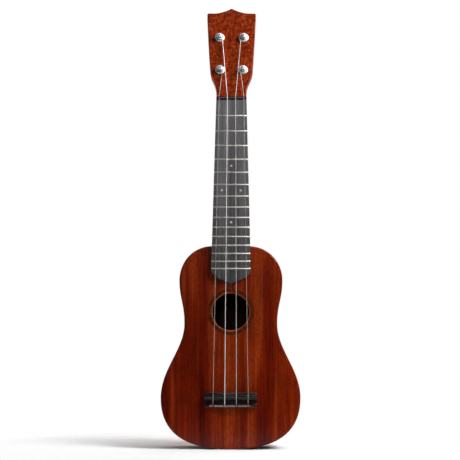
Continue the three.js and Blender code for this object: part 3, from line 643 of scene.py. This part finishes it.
def scratched_metal(name, colour, roughness, scratch):
    """Bare or plated metal: its own colour, and a gloss that fine scratches make uneven. scratch is how
    often they change per millimetre along x and across it, coarser than real ones so that they show."""
    material = new_material(name)
    tree = material.node_tree
    source = add_node(tree, "TexCoord")
    scale = tuple(s / MM for s in (scratch[0], scratch[1], scratch[1]))
    stretched = add_node(tree, "VectorMath", {0: source.outputs["Object"], 1: scale}, operation="MULTIPLY")
    noise = add_node(tree, "TexNoise", {"Vector": stretched.outputs[0], "Scale": 1.0, "Detail": 3.0})
    dulled = add_node(tree, "MapRange", {"Value": noise.outputs["Fac"], "From Min": 0.3, "From Max": 0.7,
                                         "To Min": 0.94, "To Max": 1.02})
    tint = add_node(tree, "VectorMath", {0: linear(colour)[:3], "Scale": dulled.outputs[0]},
                    operation="SCALE")
    gloss = add_node(tree, "MapRange", {"Value": noise.outputs["Fac"], "From Min": 0.3, "From Max": 0.7,
                                        "To Min": roughness * 0.75, "To Max": roughness * 1.25})
    bump = add_node(tree, "Bump", {"Strength": 0.04, "Distance": 0.02 * MM, "Height": noise.outputs["Fac"]})
    surface = {"Base Color": tint.outputs[0], "Metallic": 1.0, "Roughness": gloss.outputs[0],
               "Normal": bump.outputs[0]}
    shader = add_node(tree, "BsdfPrincipled", surface)
    add_node(tree, "OutputMaterial", {"Surface": shader.outputs[0]})
    return material


# Nickel silver, polished along the wire: warm grey with a soft gleam
nickel_silver = scratched_metal("polished nickel silver", "#f1ece4", 0.42, (3.0, 0.4))
crown_height, crown_half, tang_half, tang_depth = 0.9, 0.8, 0.25, 1.6
for number, z in enumerate(fret_z[1:], 1):
    half = board_half(z) - 0.1
    rings = []
    for x, height, width in (
        (-half, 0.3, 0.8), (-half + 0.25, 0.7, 0.95), (-half + 0.7, 1, 1),
        (half - 0.7, 1, 1), (half - 0.25, 0.7, 0.95), (half, 0.3, 0.8),
    ):
        arc = [math.pi * i / 10 for i in range(11)]
        section = [(crown_height * height * math.sin(a), crown_half * width * math.cos(a)) for a in arc]
        section += [(0, -tang_half), (-tang_depth, -tang_half), (-tang_depth, tang_half), (0, tang_half)]
        rings.append([(x, board_face - out, z + along) for out, along in section])
    node = f"fret_{number:02d}"
    make_piece(f"{node}_wire", Solid().skin(rings), nickel_silver, [node])

# ------------------------------------------------------------------ nut
# A bar of black plastic, filed with four grooves that the strings lie in and polished.


def polished_plastic(name, colour, roughness):
    """Moulded plastic: one deep colour, a little dust in it and faint handling marks in its gloss."""
    material = new_material(name)
    tree = material.node_tree
    source = add_node(tree, "TexCoord")
    marks = add_node(tree, "TexNoise", {"Vector": source.outputs["Object"], "Scale": 0.35 / MM,
                                        "Detail": 4.0})
    cloud = add_node(tree, "MapRange", {"Value": marks.outputs["Fac"], "From Min": 0.3, "From Max": 0.7,
                                        "To Min": 0.8, "To Max": 1.25})
    tint = add_node(tree, "VectorMath", {0: linear(colour)[:3], "Scale": cloud.outputs[0]}, operation="SCALE")
    gloss = add_node(tree, "MapRange", {"Value": marks.outputs["Fac"], "From Min": 0.3, "From Max": 0.7,
                                        "To Min": roughness * 0.8, "To Max": roughness * 1.3})
    bump = add_node(tree, "Bump", {"Strength": 0.05, "Distance": 0.05 * MM, "Height": marks.outputs["Fac"]})
    surface = {"Base Color": tint.outputs[0], "Roughness": gloss.outputs[0], "Normal": bump.outputs[0],
               "IOR": 1.5}
    shader = add_node(tree, "BsdfPrincipled", surface)
    add_node(tree, "OutputMaterial", {"Surface": shader.outputs[0]})
    return material


# Black urea plastic, buffed: nearly black with clear highlights
black_plastic = polished_plastic("buffed black plastic", "#121316", 0.16)
string_diameters = {"g": 0.61, "c": 0.91, "e": 0.81, "a": 0.61}
spacing_at_nut, spacing_at_saddle = 9.8, 13.65
at_nut = {name: (i - 1.5) * spacing_at_nut for i, name in enumerate(string_diameters)}
at_saddle = {name: (i - 1.5) * spacing_at_saddle for i, name in enumerate(string_diameters)}
nut_height, groove_floor = 6.6, 6.1
nut_top = [(nut_half, nut_height - 0.6), (nut_half - 0.15, nut_height - 0.2), (nut_half - 0.6, nut_height)]
for name, diameter in reversed(string_diameters.items()):
    groove = diameter / 2 + 0.1
    steps = ((1, 0.5), (0.8, 0.25), (0.4, 0.04), (-0.4, 0.04), (-0.8, 0.25), (-1, 0.5))
    nut_top += [(at_nut[name] + share * groove, groove_floor + up) for share, up in steps]
nut_top += [(0.6 - nut_half, nut_height), (0.15 - nut_half, nut_height - 0.2), (-nut_half, nut_height - 0.6)]
rings = []
for along, lowered in ((0, 0.35), (0.12, 0.12), (0.4, 0), (nut_length - 0.4, 0), (nut_length - 0.12, 0.12),
                       (nut_length, 0.35)):
    top = [(x, front_y - up + lowered, nut_z + along) for x, up in nut_top]
    rings.append([(nut_half, front_y, nut_z + along), *top, (-nut_half, front_y, nut_z + along)])
make_piece("nut_bar", Solid().skin(rings), black_plastic, ["nut"])

# ------------------------------------------------------------------ bridge
# A block of rosewood glued to the soundboard, with a slot for the saddle, a channel behind it and a
# rear lip. Each string drops into a notch in the lip and is held by its knot.

bridge_half, bridge_rear, bridge_front, bridge_height = 30.8, 49.4, 66.2, 6.5
lip_height, lip_fall, lip_front, channel = 5.5, 0.55, 52.8, 2.8
knot_width, knot_length, pocket_floor = 3.0, 1.6, 1.0
saddle_z, saddle_half, saddle_height, slot_floor = 62.0, 2.2, 9.7, 3.0
slot_rear, slot_front = saddle_z - saddle_half - glue_gap, saddle_z + saddle_half + glue_gap
wall_rear = slot_rear - 1.1
# Lacquered rosewood: dark red-brown, its grain across the instrument, with a satin gloss
bridge_rosewood = grained_wood("lacquered rosewood", "#160a08", "#25110d", "#3c1e17", runs="X",
                               band=(0.3, 0.01), fibre=(0.9, 0.015), pore=(1.3, 0.12), pore_dark=0.45,
                               roughness=0.2, specular=0.6)
bridge_profile = [
    (0, bridge_rear), (lip_height - 0.35, bridge_rear), (lip_height - 0.1, bridge_rear + 0.1),
    (lip_height, bridge_rear + 0.35), (lip_height - lip_fall, lip_front - 0.35),
    (lip_height - lip_fall - 0.12, lip_front - 0.1), (lip_height - lip_fall - 0.4, lip_front),
    (channel + 0.4, lip_front + 0.05), (channel, lip_front + 0.5), (channel, wall_rear - 0.5),
    (channel + 0.4, wall_rear - 0.1),
    (bridge_height - 0.4, wall_rear), (bridge_height - 0.1, wall_rear + 0.12),
    (bridge_height, wall_rear + 0.35), (bridge_height, slot_rear), (slot_floor, slot_rear),
    (slot_floor, slot_front), (bridge_height, slot_front), (bridge_height, bridge_front - 0.7),
    (bridge_height - 0.1, bridge_front - 0.35), (bridge_height - 0.35, bridge_front - 0.1),
    (bridge_height - 0.7, bridge_front), (0, bridge_front),
]
# Bridge and saddle both end in a small round, given as inset at each step outwards
eased_ends = (
    (-bridge_half, 0.3), (0.1 - bridge_half, 0.09), (0.3 - bridge_half, 0),
    (bridge_half - 0.3, 0), (bridge_half - 0.1, 0.09), (bridge_half, 0.3),
)
rings = []
for x, inset in eased_ends:
    section = inset_line([(z, up) for up, z in reversed(bridge_profile)], inset)
    rings.append([(x, front_y - max(up, 0), z) for z, up in section])
bridge = make_piece("bridge_block", Solid().skin(rings), bridge_rosewood, ["bridge"])
notches = Solid()
for name, diameter in string_diameters.items():
    narrow, wide = diameter / 2 + 0.2, knot_width / 2
    rear, knot_end, front = bridge_rear - 1, bridge_rear + knot_length, lip_front + 0.3
    right = [(wide, rear), (wide, knot_end), (narrow, knot_end), (narrow, front)]
    cut = right + [(-x, z) for x, z in reversed(right)]
    notches.skin([[(at_saddle[name] + x, front_y - up, z) for x, z in cut] for up in (pocket_floor, 9)])
combine(bridge, notches, "DIFFERENCE")

# ------------------------------------------------------------------ saddle
# A bar of the same black plastic as the nut in the bridge's slot, rounded where the strings cross.

saddle_front = [
    (saddle_height, 0.6), (saddle_height - 0.18, 1.1), (saddle_height - 0.7, 1.6),
    (saddle_height - 1.5, 2.08), (saddle_height - 2.6, saddle_half), (slot_floor + glue_gap, saddle_half),
]
saddle_section = [(up, -z) for up, z in reversed(saddle_front)] + saddle_front
rings = []
for x, inset in eased_ends:
    section = inset_line([(z, up) for up, z in reversed(saddle_section)], inset)
    rings.append([(x, front_y - up, saddle_z + z) for z, up in section])
make_piece("saddle_bar", Solid().skin(rings), black_plastic, ["saddle"])

# ------------------------------------------------------------------ friction pegs
# Each peg is a turned and plated steel shaft through a flanged bush in the face and a washer behind.
# The thumb button is pulled up on its tail by a screw, and that pull holds the string in tune.

# Chrome plate over brushed steel: bright, with soft-edged reflections
chrome = scratched_metal("satin chrome plate", "#f6f8fb", 0.38, (1.0, 1.0))
# Zinc-plated steel: a duller blue-grey
screw_steel = scratched_metal("zinc-plated steel", "#a9adb3", 0.3, (1.0, 1.0))
# Moulded black plastic, satin from handling
button_plastic = polished_plastic("handled black plastic", "#151416", 0.3)
flange, flange_seat, bush_bore, bush_barrel, bush_depth = 5.9, 0.3, 3.3, 4.0, 4.5
bush_profile = [
    (bush_bore, -bush_depth), (bush_barrel, -bush_depth), (bush_barrel, 0), (flange, 0), (flange, 0.5),
    (flange - 0.12, 0.92), (flange - 0.4, 1.25), (flange - 0.85, 1.48), (flange - 1.4, 1.58),
    (bush_bore + 0.6, 1.6), (bush_bore + 0.18, 1.5), (bush_bore, 1.3),
]
post_waist, shaft_radius, tail_radius, screw_bore = 2.6, 3, 2.4, 1.5
shaft_profile = [
    (screw_bore, -19), (screw_bore, -24), (2.1, -24), (tail_radius, -23.7), (tail_radius, -13.1),
    (shaft_radius, -13.1), (shaft_radius, 1.3), (2.85, 1.6), (post_waist, 2.1), (post_waist, 5.8),
    (2.72, 6.15), (shaft_radius, 6.5), (shaft_radius, 7.2), (2.92, 7.5), (2.65, 7.82), (2.1, 8.04),
    (1.2, 8.16), (0.4, 8.2),
]
# The hole through the post is this far out from the headstock's face
hole_out, hole_bore = 5.0, 0.7
button_top, button_length = -13.4, 17.0
button_rings = []
for share, half, depth in (
    (0, 3.9, 3.9), (0.02, 4.2, 4.2), (0.13, 4.2, 4.2), (0.18, 4.5, 4.15), (0.26, 5.9, 4.0),
    (0.35, 7.5, 3.8), (0.45, 8.6, 3.65), (0.55, 9.0, 3.6), (0.65, 8.95, 3.65), (0.75, 8.5, 3.75),
    (0.84, 7.6, 3.9), (0.91, 6.4, 4.0), (0.96, 5.2, 3.9), (0.99, 4.2, 3.5), (1.0, 3.4, 2.9),
):
    # Round where the button is narrow, and squarer at its corners where it is wide
    corner = 2 / (2 + 0.8 * (half / depth - 1))
    button_rings.append([
        (half * math.copysign(abs(math.cos(a)) ** corner, math.cos(a)), -(button_top - share * button_length),
         depth * math.copysign(abs(math.sin(a)) ** corner, math.sin(a)))
        for a in (2 * math.pi * (i + 0.5) / 48 for i in range(48))
    ])
button_end = button_top - button_length
screw_seat = button_end - 0.3
driver_slot = ((-4, -0.35), (4, -0.35), (4, 0.35), (-4, 0.35))
driver_floor = 0.7 - screw_seat
screw_profile = [
    (1.0, -20), (1.2, -20.3), (1.2, screw_seat), (2.6, screw_seat), (2.6, screw_seat - 0.3),
    (2.35, screw_seat - 0.8), (1.9, screw_seat - 1.15), (1.2, screw_seat - 1.4), (0.4, screw_seat - 1.5),
]
for name, (across, up, turn) in pegs.items():
    place = lean @ Matrix.Translation((across, 0, up))
    turned = place @ Matrix.Rotation(math.radians(-turn), 4, "Y")
    make_piece(f"peg_bush_ring_{name}", Solid().turned(bush_profile, hollow=True), chrome,
               [f"peg_bush_{name}"], place=place @ Matrix.Translation((0, -flange_seat, 0)))
    behind = place @ Matrix.Translation((0, headstock_thickness + flange_seat, 0))
    behind = behind @ Matrix.Rotation(math.pi, 4, "Z")
    make_piece(f"peg_washer_ring_{name}", Solid().turned(bush_profile, hollow=True), chrome,
               [f"peg_washer_{name}"], place=behind)
    shaft = make_piece(f"peg_post_{name}", Solid().turned(shaft_profile), chrome,
                       [f"peg_shaft_{name}"], body=f"peg_{name}", place=turned)
    drill = Solid().tube([(-5, -hole_out, 0), (5, -hole_out, 0)], hole_bore, 20)
    combine(shaft, drill, "DIFFERENCE", turned)
    button = make_piece(f"peg_thumb_{name}", Solid().skin(button_rings), button_plastic,
                        [f"peg_button_{name}"], body=f"peg_{name}", place=turned)
    bore = Solid().turned([(2.7, -12), (2.7, -24.3), (screw_bore, -24.3), (screw_bore, button_end - 1)])
    combine(button, bore, "DIFFERENCE", turned)
    screw = make_piece(f"peg_tension_screw_{name}", Solid().turned(screw_profile), screw_steel,
                       [f"peg_screw_{name}"], body=f"peg_{name}", place=turned)
    blade = Solid().skin([[(x, driver_floor + y, z) for x, z in driver_slot] for y in (0, 2)])
    combine(screw, blade, "DIFFERENCE", turned)

# ------------------------------------------------------------------ strings
# Four extruded nylon strings, from clear to milky. Each is knotted in its pocket behind the bridge's
# lip, crosses saddle and nut, and is wound twice round its post, with its end pushed through the
# hole in the post.


def extruded_nylon(name, transmission, colour):
    """Extruded nylon: clear or milky, with a thin bright highlight down its length."""
    material = new_material(name)
    tree = material.node_tree
    source = add_node(tree, "TexCoord")
    haze = add_node(tree, "TexNoise", {"Vector": source.outputs["Object"], "Scale": 0.2 / MM, "Detail": 2.0})
    milky = add_node(tree, "MapRange", {"Value": haze.outputs["Fac"], "From Min": 0.3, "From Max": 0.7,
                                        "To Min": 0.85, "To Max": 1.05})
    tint = add_node(tree, "VectorMath", {0: linear(colour)[:3], "Scale": milky.outputs[0]}, operation="SCALE")
    gloss = add_node(tree, "MapRange", {"Value": haze.outputs["Fac"], "To Min": 0.1, "To Max": 0.25})
    surface = {"Base Color": tint.outputs[0], "Roughness": gloss.outputs[0], "IOR": 1.53,
               "Transmission Weight": transmission}
    shader = add_node(tree, "BsdfPrincipled", surface)
    add_node(tree, "OutputMaterial", {"Surface": shader.outputs[0]})
    return material


# The thin outer strings are clear, and the thicker a string is, the milkier it looks
clear_nylon = extruded_nylon("clear nylon string", 0.62, "#f6efec")
pale_nylon = extruded_nylon("pale nylon string", 0.4, "#f8f3f2")
milky_nylon = extruded_nylon("milky nylon string", 0.1, "#fbf9fa")
nylons = {"g": clear_nylon, "c": milky_nylon, "e": pale_nylon, "a": clear_nylon}
for name, diameter in string_diameters.items():
    radius = diameter / 2
    across, up, turn = pegs[name]
    over_saddle = saddle_height + radius + 0.01
    over_nut = groove_floor + radius + 0.05
    in_lip = channel + radius + 0.1
    in_pocket = pocket_floor + 0.9 + radius
    # An overhand knot is a trefoil; it starts a little way in, where its free end is cut off
    knot = []
    knot_size, knot_points = 0.27, 30
    for k in range(knot_points):
        t = 2 * math.pi * (0.08 + 0.92 * k / knot_points)
        knot.append((
            at_saddle[name] + knot_size * (math.sin(t) + 2 * math.sin(2 * t)),
            front_y - in_pocket - knot_size * (math.cos(t) - 2 * math.cos(2 * t)),
            bridge_rear + 0.85 - 1.3 * knot_size * math.sin(3 * t),
        ))
    up_to_saddle = (
        (in_pocket + 0.4, bridge_rear + 1.9), (in_lip, bridge_rear + 2.8), (in_lip + 0.7, bridge_rear + 3.8),
        (over_saddle - 0.4, saddle_z - 1.8), (over_saddle - 0.06, saddle_z - 0.9),
        (over_saddle, saddle_z - 0.5), (over_saddle, saddle_z + 0.8),
    )
    run = knot + [(at_saddle[name], front_y - out, z) for out, z in up_to_saddle]
    run += [(at_nut[name], front_y - over_nut, z) for z in (nut_z, nut_z + nut_length)]
    leave = lean.inverted() @ Vector(run[-1])
    to_nut = Vector((leave.x - across, leave.z - up))
    coil_radius = post_waist + 0.1 + radius
    inwards = 1 if across < 0 else -1
    start = math.atan2(to_nut.y, to_nut.x) + inwards * math.acos(coil_radius / to_nut.length)
    first_turn, pitch, turns = 2.75, diameter + 0.05, 2

    def on_post(angle, reach, out):
        return lean @ Vector((across + reach * math.cos(angle), -out, up + reach * math.sin(angle)))

    run.append(on_post(start, coil_radius, first_turn))
    make_piece(f"string_run_{name}", Solid().tube(run, radius), nylons[name], [f"string_{name}"])
    # The turns on the post ride on the peg, with the string's end pushed through the post
    steps = 24
    coil = [on_post(start + inwards * 2 * math.pi * k / steps, coil_radius, first_turn + pitch * k / steps)
            for k in range(turns * steps + 1)]
    end = start + inwards * 2 * math.pi * turns
    end_out = first_turn + pitch * turns
    hole = math.radians(turn)
    while (hole - end) * inwards < 0.6:
        hole += inwards * math.pi
    for share in (0.25, 0.5, 0.75, 0.92):
        rise = share * share * (3 - 2 * share)
        coil.append(on_post(end + share * (hole - end), coil_radius, end_out + rise * (hole_out - end_out)))
    coil += [on_post(hole, reach, hole_out) for reach in (coil_radius * 0.86, 1.6, 0, -1.6, -3.1)]
    make_piece(f"string_winding_{name}", Solid().tube(coil, radius), nylons[name],
               body=f"peg_{name}")
